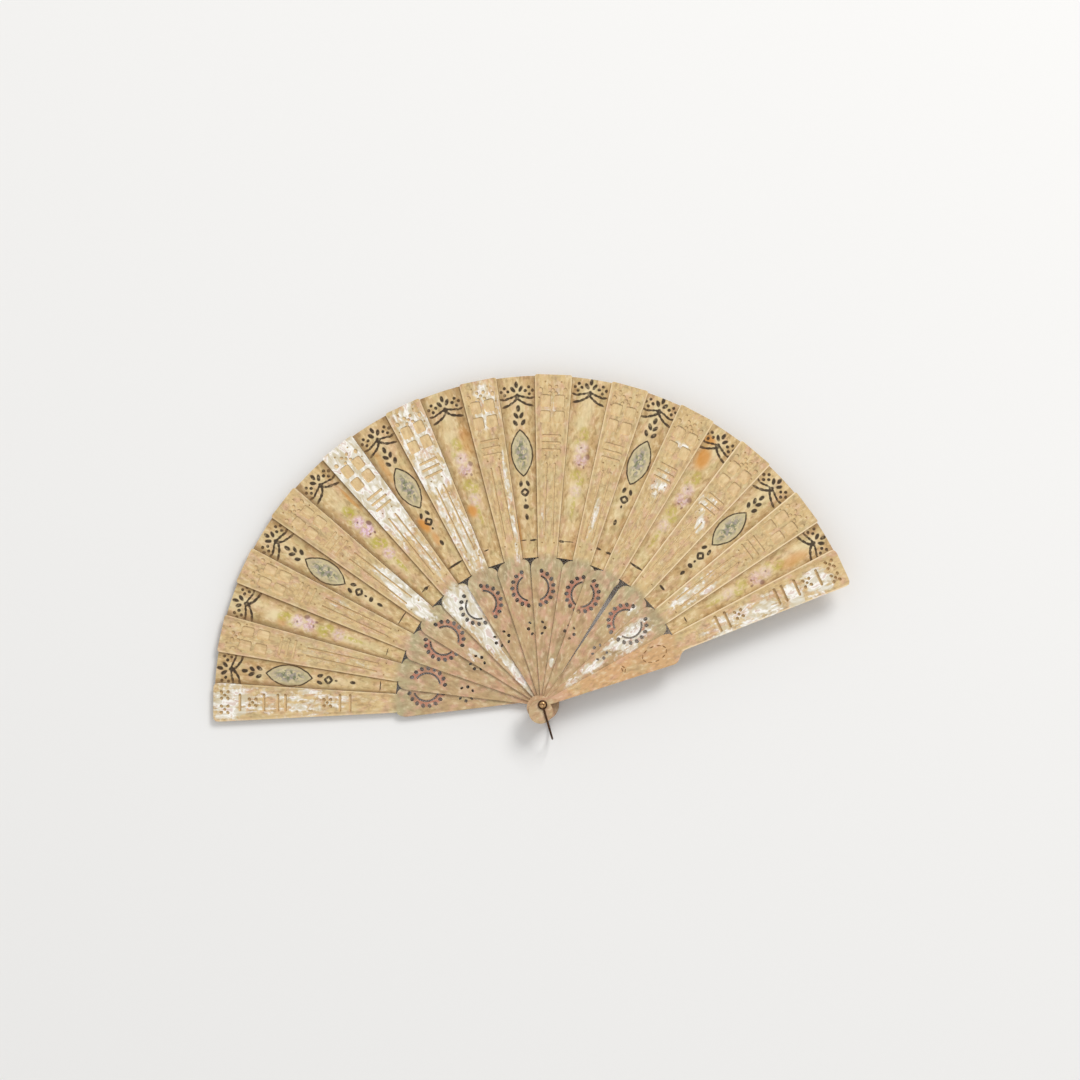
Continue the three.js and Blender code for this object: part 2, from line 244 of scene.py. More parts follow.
def roughen(shader, height, strength, depth):
    """Relief that is too fine for the mesh, with its depth in millimetres."""
    given = {"Strength": strength, "Distance": depth * millimetre, "Height": height}
    feed(shader, {"Normal": add_node("Bump", given).outputs["Normal"]})


def old_metal(name, dark, bright, roughness):
    """Rubbed metal that has gone dull in the hollows, with fine hammer and wear marks."""
    material, shader = new_finish(name)
    place = place_on_piece(shader)
    patches, marks = cloud(place, 1.6, 4, 0.4), cloud(place, 0.35)
    feed(shader, {"Base Color": tones(patches, (0.3, dark), (0.62, bright)), "Metallic": 1.0,
                  "Roughness": maths("MULTIPLY_ADD", marks, 0.3, roughness - 0.15)})
    roughen(shader, marks, 0.4, 0.08)
    return material


rivet_brass = old_metal("rivet_brass", (120, 88, 58), (206, 166, 118), 0.38)
_, rear_head_front = height_of("rivet_rear_head")
rear_head = turned([*rear_dome, (rear_dome[-1][0], rear_head_front), (0, rear_head_front)])
show("rivet_head_behind", rear_head, "rivet_rear_head", [rivet_brass])

pin_back, pin_front = height_of("rivet_pin")
pin = turned([(0, pin_back), (pin_radius, pin_back), (pin_radius, pin_front), (0, pin_front)])
show("rivet_rod", pin, "rivet_pin", [rivet_brass])

# Suspension bail
# A steel wire, browned with age, bent to a U that straddles the stack of heads.
# Each end is rolled to an eye on the rivet, behind the rear guard and in front of the front guard.
bail_bearing = 273.7
bail_wire, bail_reach = 1.6, 29
eye_middle, eye_half = 2.8, 0.96
bail_back, bail_front = height_of("suspension_bail")
bail_bow = (bail_front - bail_back - bail_wire) / 2
bow_middle = bail_reach - bail_wire / 2 - bail_bow
stack_heart = (bail_front + bail_back) / 2


def draw_line(curve, points, closed):
    line = curve.splines.new("POLY")
    line.points.add(len(points) - 1)
    for target, point in zip(line.points, points):
        target.co = (*point, 1)
    line.use_cyclic_u = closed


def meshed(curve):
    """Takes a drawn curve over into a mesh, with its doubles merged."""
    holder = bpy.data.objects.new(curve.name, curve)
    mesh = bpy.data.meshes.new_from_object(holder)
    bpy.data.curves.remove(curve)
    bm = bmesh.new()
    bm.from_mesh(mesh)
    bpy.data.meshes.remove(mesh)
    bmesh.ops.remove_doubles(bm, verts=bm.verts, dist=1e-4)
    return bm


bend = [math.radians(turn) for turn in range(-90, 91, 6)]
bow_path = [(bow_middle + bail_bow * math.cos(a), bail_bow * math.sin(a)) for a in bend]
wire_path = [(eye_middle, -bail_bow), (bow_middle / 2, -bail_bow), *bow_path,
             (bow_middle / 2, bail_bow), (eye_middle, bail_bow)]
wire = bpy.data.curves.new("bail_wire", "CURVE")
wire.dimensions = "3D"
wire.bevel_depth = bail_wire / 2
wire.bevel_resolution = 4
wire.use_fill_caps = True
draw_line(wire, [(away, 0, stack_heart + up) for away, up in wire_path], False)
bail = meshed(wire)
for eye_height in (bail_back + bail_wire / 2, bail_front - bail_wire / 2):
    ring = [(eye_middle + eye_half * math.cos(a), eye_height + bail_wire / 2 * math.sin(a))
            for a in [math.radians(turn) for turn in range(0, 360, 30)]]
    turned(ring, closed=True, bm=bail)
bail_steel = old_metal("browned_steel", (52, 36, 26), (96, 70, 52), 0.42)
hanging = Matrix.Rotation(math.radians(bail_bearing), 4, "Z") @ in_metres
show("hanging_bail", bail, "suspension_bail", [bail_steel], hanging, 50)

# Sticks and guards
# Thirteen flat plates of mother-of-pearl, sawn to shape and pierced with a fine saw and drills.
# Each has a head on the rivet, a blade that shows in the gorge, and a wide rib in front of the leaf.
# The back of the rib is cut down for the silk. The edges are rubbed smooth.
full_fold = next(j["range_deg"][1] for j in behaviour["joints"] if j["name"] == "front_guard_fold")
fold_share = {c["joint"].removesuffix("_fold"): c["ratio"] for c in behaviour["couplings"]}
fold_share["rear_guard"] = 0
fold_share["front_guard"] = 1
stick_names = ["rear_guard", *[f"stick_{number}" for number in range(1, 12)], "front_guard"]
last_stick = len(stick_names) - 1

leaf_inner, leaf_outer, stick_length = 116, 259, 260
head_radius, head_shift, bore_radius = 9.5, 3.6, 1.8
shoulder_start, neck, neck_half, neck_roundness = 107.5, 115.1, 6.9, 0.55
blade_ease = 12
# Each side of a blade: its half width at the rivet and at the shoulder, and how far the head lies aside
even_side = (1.35, 13, 0)
inner_stick = {"foot": 7.4, "tip": 15.0, "corner": 2.6, "left": even_side, "right": even_side}
guard_rib = {"foot": 7.5, "tip": 15.6, "corner": 5.0}
own_sizes = {"rear_guard": {**guard_rib, "left": (-3, 10.6, 0), "right": (4.4, 12.5, 0)},
             "front_guard": {**guard_rib, "left": (2, 10.2, -4.2), "right": (1.6, 14.6, 4.2)},
             "stick_9": {**inner_stick, "right": (0.2, 10.8, 0)}}
guard_sweep = 13
blade_warp = {"stick_1": -0.8, "stick_2": -0.5, "stick_4": 0.3, "stick_5": 0.6, "stick_6": 1.1,
              "stick_7": -0.1, "stick_8": 0.6, "stick_9": 3.6, "stick_10": -0.1, "stick_11": 0.2}
rubbed_edge = 0.08
silk_recess = 0.3
recess_start = leaf_inner - 0.3


def direction(name):
    """Bearing in degrees of a piece's centre line when the fan is open."""
    return 90 + full_fold * (0.5 - fold_share[name])


def sizes_of(name):
    return own_sizes.get(name, inner_stick)


def between(value, start, end, low, high):
    """The value that lies between low and high as value does between start and end."""
    return low + (high - low) * (value - start) / (end - start)


def rib_half(sizes, distance):
    return between(distance, leaf_inner, stick_length, sizes["foot"], sizes["tip"])


def on_ring(x, y, radius, angle):
    """The point on a ring round x, y at an angle in degrees."""
    return x + radius * math.cos(math.radians(angle)), y + radius * math.sin(math.radians(angle))


def arc(x, y, radius, start, end, steps):
    """Points on an arc, from one angle to another in degrees."""
    return [on_ring(x, y, radius, start + (end - start) * step / steps) for step in range(steps + 1)]


def oval(x, y, across, along, turn=0, steps=20):
    """A closed oval hole, turned by some degrees."""
    c, s = math.cos(math.radians(turn)), math.sin(math.radians(turn))
    return [(x + u * across / 2 * c - v * along / 2 * s, y + u * across / 2 * s + v * along / 2 * c)
            for u, v in arc(0, 0, 1, 0, 360, steps)[:-1]]


def slot(x, y, across, along, corner):
    """An upright slot or window with rounded corners."""
    a, b = across / 2 - corner, along / 2 - corner
    corners = [(a, b, 0), (-a, b, 90), (-a, -b, 180), (a, -b, 270)]
    return [point for u, v, start in corners for point in arc(x + u, y + v, corner, start, start + 90, 5)]


def bezier(a, b, c, d, steps):
    """Points on a curve from a to d, without a."""
    points = interpolate_bezier(*[(x, y, 0) for x, y in (a, b, c, d)], steps + 1)
    return [(point.x, point.y) for point in points[1:]]


def half_outline(sizes, side, swept):
    """The right half of a stick, from the foot of its head to the middle of its tip."""
    root, shoulder, aside = side
    slope = (shoulder - root) / shoulder_start
    inward = root - aside
    reach = inward * slope + head_shift
    spare = inward ** 2 + head_shift ** 2 - head_radius ** 2
    join = (math.sqrt(reach ** 2 - (1 + slope ** 2) * spare) - reach) / (1 + slope ** 2)
    leaves = math.degrees(math.atan2(join + head_shift, inward + slope * join))
    points = arc(aside, -head_shift, head_radius, -90, leaves, 28)
    points.append((shoulder, shoulder_start))
    if swept:
        end = shoulder_start + guard_sweep
        middle, rib = (shoulder_start + end) / 2, rib_half(sizes, end)
        points += bezier((shoulder, shoulder_start), (shoulder, middle), (rib, middle), (rib, end), 14)
    else:
        points += bezier((shoulder, shoulder_start),
                         (shoulder, between(neck_roundness, 0, 1, shoulder_start, neck)),
                         (between(neck_roundness, 0, 1, neck_half, shoulder), neck), (neck_half, neck), 12)
        points.append((sizes["foot"], leaf_inner))
    corner, tip = sizes["corner"], sizes["tip"]
    corner_start = (rib_half(sizes, stick_length - corner), stick_length - corner)
    points.append(corner_start)
    return points + bezier(corner_start, (tip, stick_length - corner / 3), (tip - corner / 3, stick_length),
                           (tip - corner, stick_length), 8)


def stick_outline(name):
    sizes = sizes_of(name)
    right = half_outline(sizes, sizes["right"], name == "front_guard")
    left = half_outline(sizes, sizes["left"], False)
    return right + [(-x, y) for x, y in reversed(left[1:])]


# Half a wreath is sawn in each blade but the last, where two blades meet: a slot, and leaves round it.
# The maker's saw set each one a little differently, so the middles across the blades are a list.
# Lower down lies half a sprig of three leaves, each given as its turn and width.
wreath_middles = [11.9, -7.0, 10.5, -6.3, 9.5, -7.3, 10.2, -8.6, 9.6, -8.4, 8.3, -9.2]
wreath_distance, wreath_radius, wreath_slot, slot_reach = 91.8, 10.1, 1.5, 68
leaf_ring, leaf_count, leaf_reach, leaf_lean, leaf_hole = 14.0, 8, 73, 24, (3.0, 3.6)
sprig_middle, sprig_shift, sprig_distance, sprig_ring = 7, 0.9, 60.5, 5.8
sprig_leaves, sprig_length = ((-50, 1.9), (0, 2.7), (50, 1.9)), 2.7


def blade_piercing(index):
    """The half wreath and the half sprig of one blade, as closed outlines."""
    if index == last_stick:
        return []
    side = 1 if index % 2 == 0 else -1
    start = 180 if side > 0 else 0
    middle = wreath_middles[index]
    outer, inner = [arc(middle, wreath_distance, radius, start - slot_reach, start + slot_reach, 30)
                    for radius in (wreath_radius + wreath_slot / 2, wreath_radius - wreath_slot / 2)]
    holes = [outer + inner[::-1]]
    for step in range(leaf_count):
        angle = start - leaf_reach + 2 * leaf_reach * step / (leaf_count - 1)
        x, y = on_ring(middle, wreath_distance, leaf_ring, angle)
        holes.append(oval(x, y, *leaf_hole, angle - 90 + leaf_lean, 18))
    for turn, width in sprig_leaves:
        x, y = on_ring(side * sprig_middle + sprig_shift, sprig_distance, sprig_ring, start + turn)
        holes.append(oval(x, y, width, sprig_length, -turn * side, 18))
    return holes


# Fretwork of a rib, from the tip: a floret, two rows of windows, three rungs and two long slits.
# A window, rung, slit or bar is its width, height and corner. The drilled holes lie at both sides,
# each given as aside, distance, width, length, turn and number of corners.
floret_distance, petal_ring, petal, floret_hole = 248, 3.6, (2.5, 3.0), 2.4
window_aside, window_rows, window = 5.5, (239.4, 226.8), (8.2, 9.8, 1.6)
rungs, rung = (211.9, 206.3, 200.7), (15, 2.1, 0.95)
slit_aside, slit_distance, slit = 3.2, 161.9, (1.4, 57.6, 0.68)
tip_holes = [(9.6, 248, 3.2, 3.8, -20, 20), (6.4, 254.2, 1.5, 1.5, 0, 10), (10.8, 241.6, 1.4, 1.4, 0, 10)]
drilled_aside, drilled_rows, drilled_width = 4.6, (196.2, 127.5), 1.3
# Fretwork of a guard's rib: florets, each as aside and distance, and cross bars
guard_florets = ((-5.6, 251), (5.6, 251), (0, 229), (0, 170))
guard_bars, guard_bar = (239, 220, 209, 203, 160, 152), (14, 2.2, 1.0)


def floret(x, y):
    """Four petals round a drilled middle."""
    petals = [oval(*middle, *petal, 90 * step - 45, 18)
              for step, middle in enumerate(arc(x, y, petal_ring, 45, 315, 3))]
    return [*petals, oval(x, y, floret_hole, floret_hole, 0, 18)]


def rib_fretwork():
    holes = floret(0, floret_distance)
    for side in (-1, 1):
        holes += [oval(side * x, y, across, along, side * turn, corners)
                  for x, y, across, along, turn, corners in tip_holes]
        holes += [slot(side * window_aside, y, *window) for y in window_rows]
        holes.append(slot(side * slit_aside, slit_distance, *slit))
    holes += [slot(0, y, *rung) for y in rungs]
    return holes + [oval(side * drilled_aside, y, drilled_width, drilled_width, 0, 10)
                    for side in (-1, 1) for y in drilled_rows]


def guard_fretwork():
    holes = [hole for middle in guard_florets for hole in floret(*middle)]
    return holes + [slot(0, y, *guard_bar) for y in guard_bars]


def warped(points, name):
    """Blades warp with age: their points turn about the rivet, and the rib stays straight."""
    warp = blade_warp.get(name, 0)
    bent = []
    for x, y in points:
        share = min(max((leaf_inner - math.hypot(x, y)) / blade_ease, 0), 1)
        bent.append(tuple(Matrix.Rotation(math.radians(warp * share), 2) @ Vector((x, y))))
    return bent


def in_place(name, height):
    """Takes a piece drawn in millimetres along +Y to where it lies in the open fan."""
    turn = Matrix.Rotation(math.radians(direction(name) - 90), 4, "Z")
    return turn @ in_metres @ Matrix.Translation((0, 0, height))


def pearl_plate(name, index):
    """Raises a pierced outline to a plate with rubbed edges and cuts down the back of its rib."""
    back, front = height_of(name)
    fretwork = guard_fretwork() if name.endswith("guard") else rib_fretwork()
    holes = [oval(0, 0, 2 * bore_radius, 2 * bore_radius, 0, 32), *blade_piercing(index), *fretwork]
    drawing = bpy.data.curves.new(name, "CURVE")
    drawing.dimensions = "2D"
    drawing.fill_mode = "BOTH"
    drawing.extrude = (front - back) / 2 - rubbed_edge
    drawing.bevel_depth = rubbed_edge
    drawing.bevel_resolution = 1
    drawing.offset = -rubbed_edge
    for points in [stick_outline(name), *holes]:
        draw_line(drawing, [(x, y, 0) for x, y in warped(points, name)], True)
    bm = meshed(drawing)
    for step in (recess_start, recess_start + silk_recess):
        geometry = bm.verts[:] + bm.edges[:] + bm.faces[:]
        bmesh.ops.bisect_plane(bm, geom=geometry, plane_co=(0, step, 0), plane_no=(0, 1, 0))
    for vert in bm.verts:
        if vert.co.z < 0 and vert.co.y > recess_start + silk_recess / 2:
            vert.co.z += silk_recess
    return engraved(bm, (front - back) / 2) if name == "front_guard" else bm


# An oval wreath of ten short strokes is cut into the front guard's blade, with a small bow below it.
graver_depth, graver_width, stroke_length = 0.3, 1.0, 3.6
wreath_strokes, stroke_ring = 10, (5.7, 9.9)
engraving_middle = (0.6, 96.6)
bow_strokes = [(-0.4, 70.2, -55), (2.9, 70.2, 55), (1.3, 68.4, 90)]


def engraved(plate, face):
    """Cuts the strokes into a plate whose front face is at a height, and gives back the cut plate."""
    strokes = list(bow_strokes)
    for step in range(wreath_strokes):
        angle = 2 * math.pi * step / wreath_strokes
        x, y = stroke_ring[0] * math.cos(angle), stroke_ring[1] * math.sin(angle)
        heading = math.atan2(stroke_ring[1] * math.cos(angle), -stroke_ring[0] * math.sin(angle))
        strokes.append((engraving_middle[0] + x, engraving_middle[1] + y, math.degrees(heading) - 90))
    cutters = bmesh.new()
    for x, y, turn in strokes:
        made = bmesh.ops.create_icosphere(cutters, subdivisions=2, radius=1)["verts"]
        bmesh.ops.scale(cutters, verts=made, vec=(graver_width / 2, stroke_length / 2, graver_depth))
        bmesh.ops.rotate(cutters, verts=made, matrix=Matrix.Rotation(math.radians(turn), 3, "Z"))
        bmesh.ops.translate(cutters, verts=made, vec=(x, y, face))
    for cutter_face in cutters.faces:
        cutter_face.material_index = 1
    blocks = []
    for label, shape in (("plate", plate), ("cutters", cutters)):
        mesh = bpy.data.meshes.new(label)
        shape.to_mesh(mesh)
        shape.free()
        mesh.materials.append(None)
        mesh.materials.append(None)
        blocks.append(set_out(label, mesh))
    cut = blocks[0].modifiers.new("cut", "BOOLEAN")
    cut.object = blocks[1]
    cut.solver = "EXACT"
    bm = bmesh.new()
    bm.from_mesh(blocks[0].evaluated_get(bpy.context.evaluated_depsgraph_get()).data)
    for block in blocks:
        bpy.data.meshes.remove(block.data)
    return bm


# The finish of a stick: growth layers wander over the plate in tan, rose and grey-green.
# Where the layers lie right for the light nacre flashes white and silver; here the flashes are painted
# highlights in the colour, placed stick by stick, and the plate is glossier under them.
def vector_maths(operation, *values):
    made = add_node("VectorMath", values, operation=operation)
    return made.outputs["Value" if operation in ("LENGTH", "DISTANCE") else "Vector"]


def parts_of(place):
    return add_node("SeparateXYZ", [place]).outputs


def joined(*parts):
    return add_node("CombineXYZ", parts).outputs[0]


def blend(share, under, over, kind="MIX"):
    """Mixes two colours. The colour sockets of this node are numbers 6 and 7, and its result is number 2."""
    return add_node("Mix", {0: share, 6: under, 7: over}, data_type="RGBA", blend_type=kind).outputs[2]


def tint(colour, mask, over, strength=1.0):
    """Paints over a colour where a mask lies, with a painter's colour or the output of a node."""
    over = paint(*over) if isinstance(over, tuple) else over
    return blend(times(mask, strength), colour, over)


def spot(place, x, y, across, along, turn=0, soft=0.12):
    """1 inside an oval and 0 outside it."""
    own = lay(place, (x, y, 0), turn, (across / 2, along / 2, 1), "TEXTURE")
    return fade(vector_maths("LENGTH", own), 1 + soft, 1 - soft)


def most(masks):
    found = masks[0]
    for mask in masks[1:]:
        found = maths("MAXIMUM", found, mask)
    return found


def group_with(name, inputs, outputs):
    """Makes a node group with named sockets: the outputs of what is given, and the node of results."""
    tree = bpy.data.node_groups.new(name, "ShaderNodeTree")
    for side, sockets in (("INPUT", inputs), ("OUTPUT", outputs)):
        for label, kind in sockets.items():
            tree.interface.new_socket(label, in_out=side, socket_type=f"NodeSocket{kind}")
    return tree.nodes.new("NodeGroupInput").outputs, tree.nodes.new("NodeGroupOutput")


def use_group(group, **given):
    return add_node("Group", given, node_tree=group).outputs


def seeded(place, seed):
    """Moves a place far off by a seed, so that like pieces don't share their clouds."""
    spread = joined(*[times(seed, reach) for reach in (37.1, 61.7, 23.3)])
    return vector_maths("ADD", place, spread)


def along_stick(shader, bearing):
    """Places in millimetres across and along a centre line that points to a bearing."""
    return vector_maths("MULTIPLY", place_on_piece(shader, 90 - bearing), (1, 1, 0))


def bent_by_cloud(place, size, reach):
    """Shifts a place by up to half a reach each way, so that straight things wander."""
    wander = add_node("TexNoise", {"Vector": place, "Scale": 1 / size}).outputs["Color"]
    centred = vector_maths("MULTIPLY_ADD", wander, (reach, reach, 0), (-reach / 2, -reach / 2, 0))
    return vector_maths("ADD", centred, place)


def drawn_cloud(place, shares, size, detail=3, distortion=0, shift=(0, 0, 0), turn=0):
    """A cloud drawn out across or along the piece: the smaller a share, the longer it is that way."""
    return cloud(lay(place, shift, turn, (*shares, 1)), size, detail, distortion)


def aged(own, colour, rose, green):
    """Patches of rose and green, each given as a colour and a strength."""
    for shift, size, (over, strength) in (((40, 0, 0), 6, rose), ((0, 40, 0), 7, green)):
        patches = fade(drawn_cloud(own, (1, 0.6), size, shift=shift), 0.48, 0.66)
        colour = tint(colour, patches, over, strength)
    return colour


def shaded(colour, *clouds):
    """Darkens a colour by clouds, each with how far it swings and how much light it leaves at least."""
    shade = times(*[maths("MULTIPLY_ADD", *given) for given in clouds])
    return blend(1.0, colour, tones(shade, (0, (0, 0, 0)), (1, (255, 255, 255))), "MULTIPLY")


def speckled(own, colour, distortion, *specks):
    """Pale and dark specks, each with the cloud's values where they start and are full. The pale specks are
    painted glints; the dark specks are flecks in the material.
    """
    speckle = drawn_cloud(own, (1, 0.5), 2.6, 4, distortion, (0, 0, 9))
    for start, full, over, strength in specks:
        colour = tint(colour, fade(speckle, start, full), over, strength)
    return colour


def nacre_layers():
    """Colour, flash and relief of mother-of-pearl, from a place on the stick in millimetres."""
    given, results = group_with(
        "nacre_layers",
        {"Place": "Vector", "Seed": "Float", "Glow": "Float", "Foot": "Float", "Tip": "Float",
         "Tan": "Float", "Rubbed": "Float", "Wreath": "Vector"},
        {"Color": "Color", "Flash": "Float", "Relief": "Float"})
    own = seeded(given["Place"], given["Seed"])
    parts = parts_of(given["Place"])
    along = parts["Y"]

    # Growth layers: contour lines of a slow cloud, drawn out along the stick
    swell = drawn_cloud(own, (1, 0.42), 26, 3, 0.5)
    layers = maths("PINGPONG", times(swell, 9.0), 0.5)
    grain = drawn_cloud(own, (1, 0.16), 1.7)
    veins = drawn_cloud(own, (1, 0.05), 3.4, 2, 0.4)
    flecks = drawn_cloud(own, (1, 0.6), 2.4, 3, 0.5)
    cross_grain = drawn_cloud(own, (0.12, 1), 1.9, 2)
    mottle = drawn_cloud(own, (1, 0.42), 11, 4, 0.3)

    # Ribs are warm tan, blades a cooler grey-rose with green in the shoulders and a worn, tan head
    rib = tones(mottle, (0.25, (200, 166, 112)), (0.55, (219, 189, 134)), (0.66, (214, 178, 126)),
                (0.8, (216, 192, 142)))
    colour = tones(mottle, (0.25, (156, 126, 88)), (0.55, (197, 165, 119)), (0.66, (199, 154, 118)),
                   (0.8, (184, 167, 126)))
    shoulder = times(fade(along, 88, 112), cloud(own, 16, 2))
    colour = tint(colour, shoulder, (176, 166, 128), 1.25)
    colour = tint(colour, given["Tan"], (218, 170, 116), 0.75)
    colour = tint(colour, fade(along, 26, 4), (196, 158, 118))
    colour = tint(colour, fade(along, leaf_inner - 2, leaf_inner + 6), rib)
    colour = aged(own, colour, ((216, 168, 140), 0.6), ((192, 180, 132), 0.36))

    # The band between the wreath's slot and its leaves is painted rose-brown. The last value of Wreath is
    # 1 where the half wreath lies to the right of its middle, and -1 where it lies to the left.
    from_wreath = vector_maths("DISTANCE", given["Place"], given["Wreath"])
    off_band = maths("ABSOLUTE", maths("SUBTRACT", from_wreath, (wreath_radius + leaf_ring) / 2))
    wreath = parts_of(given["Wreath"])
    outward = times(maths("SUBTRACT", parts["X"], wreath["X"]), wreath["Z"])
    band = times(fade(off_band, 3.6, 1.8), fade(outward, 1.5, 4.5), mottle)
    colour = tint(colour, band, (182, 116, 94), 1.5)

    # Lines engraved along the rib's edges, and scrolls between its holes, worn away in places
    rib_edge = {"Value": along, "From Min": leaf_inner, "From Max": stick_length,
                "To Min": given["Foot"], "To Max": given["Tip"]}
    half = add_node("MapRange", rib_edge).outputs["Result"]
    inset = maths("SUBTRACT", half, maths("ABSOLUTE", parts["X"]))
    lines = [fade(maths("ABSOLUTE", maths("SUBTRACT", inset, depth)), 0.42, 0.16) for depth in (1.7, 2.6)]
    border = times(most(lines), fade(along, leaf_inner + 3, leaf_inner + 4),
                   fade(along, stick_length - 2, stick_length - 3), maths("MULTIPLY_ADD", mottle, 0.8, 0.2))
    wandering = bent_by_cloud(lay(own, scale=(1, 0.8, 1)), 4, 5)
    curls = add_node("TexVoronoi", {"Vector": wandering, "Scale": 1 / 3.6},
                     feature="DISTANCE_TO_EDGE").outputs["Distance"]
    scroll = times(fade(curls, 0.11, 0.03), fade(cloud(own, 9, 2), 0.38, 0.6),
                   fade(along, leaf_inner + 4, leaf_inner + 20), fade(inset, 3.0, 3.8), 0.8)
    graven = maths("MAXIMUM", border, scroll)

    colour = shaded(colour, (layers, 0.10, 0.93), (grain, 0.44, 0.77), (veins, 0.26, 0.86),
                    (flecks, 0.40, 0.80), (cross_grain, 0.22, 0.89))
    colour = speckled(own, colour, 0.2, (0.52, 0.68, (240, 221, 182), 0.4), (0.48, 0.33, (146, 114, 80), 0.4))
    colour = tint(colour, graven, (136, 104, 70), 0.34)
    # Painted highlight: a pale line just inside each rib's edges, stronger on some ribs
    rubbed = times(fade(inset, 1.3, 0.5), fade(along, leaf_inner, leaf_inner + 3))
    colour = tint(colour, times(rubbed, given["Rubbed"]), (244, 220, 180))

    # Painted highlights: the painted glow breaks up along the layers into streaks of white and silver in the
    # colour
    streaks = drawn_cloud(own, (1, 0.26), 4.0, 2, 0.6, turn=9)
    patches = cloud(own, 3.0, 3, 0.5)
    flash = -3.35
    for value, weight in ((streaks, 3.6), (patches, 2.4), (layers, 0.5), (given["Glow"], 1.3)):
        flash = maths("MULTIPLY_ADD", value, weight, flash)
    flash = times(fade(flash, -0.1, 0.9), fade(given["Glow"], 0.0, 0.25))
    # The painted highlights' colours, pale gold, silver, white and rose, laid over the colour where the flash
    # lies
    sheen = tones(drawn_cloud(own, (1, 0.45), 4.5, 2, 0.8, turn=9), (0.34, (210, 196, 164)),
                  (0.5, (230, 224, 208)), (0.57, (255, 253, 246)), (0.67, (226, 206, 196)))
    relief = maths("MULTIPLY_ADD", layers, 0.25, times(grain, 0.3))
    feed(results, {"Color": tint(colour, flash, sheen, 0.94), "Flash": flash,
                   "Relief": maths("MULTIPLY_ADD", graven, -1.0, relief)})
    return results.id_data


# Painted highlights (flashes) on each stick: place across and along, size across and along, turn and strength
painted_glints = {
    "rear_guard": [(0, 247, 26, 30, 0, 0.8), (5, 236, 10, 20, 30, 0.8), (0, 200, 20, 90, 0, 0.42)],
    "stick_1": [(0, 165, 10, 60, 0, 0.15)],
    "stick_2": [(3, 176, 8, 24, 0, 0.2)],
    "stick_3": [(2.5, 140, 13, 50, -3, 1.7), (-3, 66, 7, 16, 0, 0.5)],
    "stick_4": [(0, 222, 36, 100, 0, 1.4), (3, 160, 9, 60, -3, 0.6), (0, 98, 30, 34, 0, 1.2),
                (0, 74, 12, 50, -6, 1.05), (-1, 40, 6, 56, 0, 0.9)],
    "stick_5": [(0, 232, 28, 60, 0, 0.75), (-2, 200, 25, 30, 0, 1.1), (0, 154, 17, 74, 0, 0.65)],
    "stick_6": [(3, 240, 20, 34, 0, 0.45), (6, 156, 4, 80, -3, 0.7)],
    "stick_7": [(-4, 150, 4, 12, 0, 0.6), (2, 236, 16, 24, 0, 0.2)],
    "stick_8": [(-2, 34, 4, 7, 0, 1.0), (0, 150, 4, 40, 0, 0.3)],
    "stick_9": [(1, 231, 12, 5, 0, 1.0), (0, 196, 12, 30, 0, 0.3)],
    "stick_10": [(-3, 203, 14, 18, 0, 0.5), (3, 188, 6, 12, 20, 0.9), (6, 100, 10, 20, 0, 0.4)],
    "stick_11": [(0, 152, 14, 50, 0, 0.4), (-1, 84, 16, 40, 0, 0.8), (0, 46, 9, 44, 0, 0.7)],
    "front_guard": [(3, 236, 20, 22, 0, 1.0), (4, 216, 18, 16, 0, 1.0), (3, 196, 16, 22, 0, 0.7),
                    (4, 166, 16, 50, 0, 0.62)],
}
# How bright the painted highlight along the edges of each rib is
rib_edge_highlights = {"stick_5": 0.4, "stick_8": 0.4, "stick_9": 0.5, "stick_10": 0.8, "stick_11": 0.9,
               "front_guard": 0.75}
other_rib_edge_highlights = 0.22
nacre = nacre_layers()


def mother_of_pearl(name, index):
    """The finish of one stick, laid along it."""
    material, shader = new_finish(f"pearl_{name}")
    place = along_stick(shader, direction(name))
    # Painted highlights: this stick's flash patches from the table, as a mask for the colour
    painted_glow = most([times(spot(place, *where, soft=0.5), strength) for *where, strength in painted_glints[name]])
    wreath = (0, 0, 0)
    if index < last_stick:
        [middle] = warped([(wreath_middles[index], wreath_distance)], name)
        wreath = (*middle, 1 if index % 2 else -1)
    layers = use_group(nacre, Place=place, Seed=index + 1, Glow=painted_glow, Foot=sizes_of(name)["foot"],
                       Tip=sizes_of(name)["tip"], Tan=1 if name == "front_guard" else 0,
                       Rubbed=rib_edge_highlights.get(name, other_rib_edge_highlights), Wreath=wreath)
    feed(shader, {"Base Color": layers["Color"], "Coat Weight": 0.25, "Coat Roughness": 0.12,
                  "Roughness": maths("MULTIPLY_ADD", layers["Flash"], -0.2, 0.42)})
    roughen(shader, layers["Relief"], 0.5, 0.12)
    return material


graver_dirt, dirt_shader = new_finish("graver_dirt")
dirt = tones(cloud(place_on_piece(dirt_shader), 1.5), (0.35, (128, 92, 54)), (0.65, (176, 132, 82)))
feed(dirt_shader, {"Base Color": dirt, "Roughness": 0.7})

for index, name in enumerate(stick_names):
    finishes = [mother_of_pearl(name, index)]
    if name == "front_guard":
        finishes.append(graver_dirt)
    place = in_place(name, sum(height_of(name)) / 2)
    show(f"pearl_{name}", pearl_plate(name, index), name, finishes, place, 20)

# Silk glued behind the sticks
# The leaf is one strip of thin tan silk, pleated and glued flat to the back of every rib.
# At each rib's right edge it turns up as a narrow lip and runs on as the next free pleat.
silk_thickness = 0.2
silk_inset, edge_clearance = 0.4, 0.3
glued_columns, glued_rows, first_glued_seed = 8, 72, 31
# How far the glued silk is painted lighter all over, as painted light against the shade in the ribs' holes
glued_painted_light, rear_guard_painted_light = 0.4, 0.75
area_steps = 40


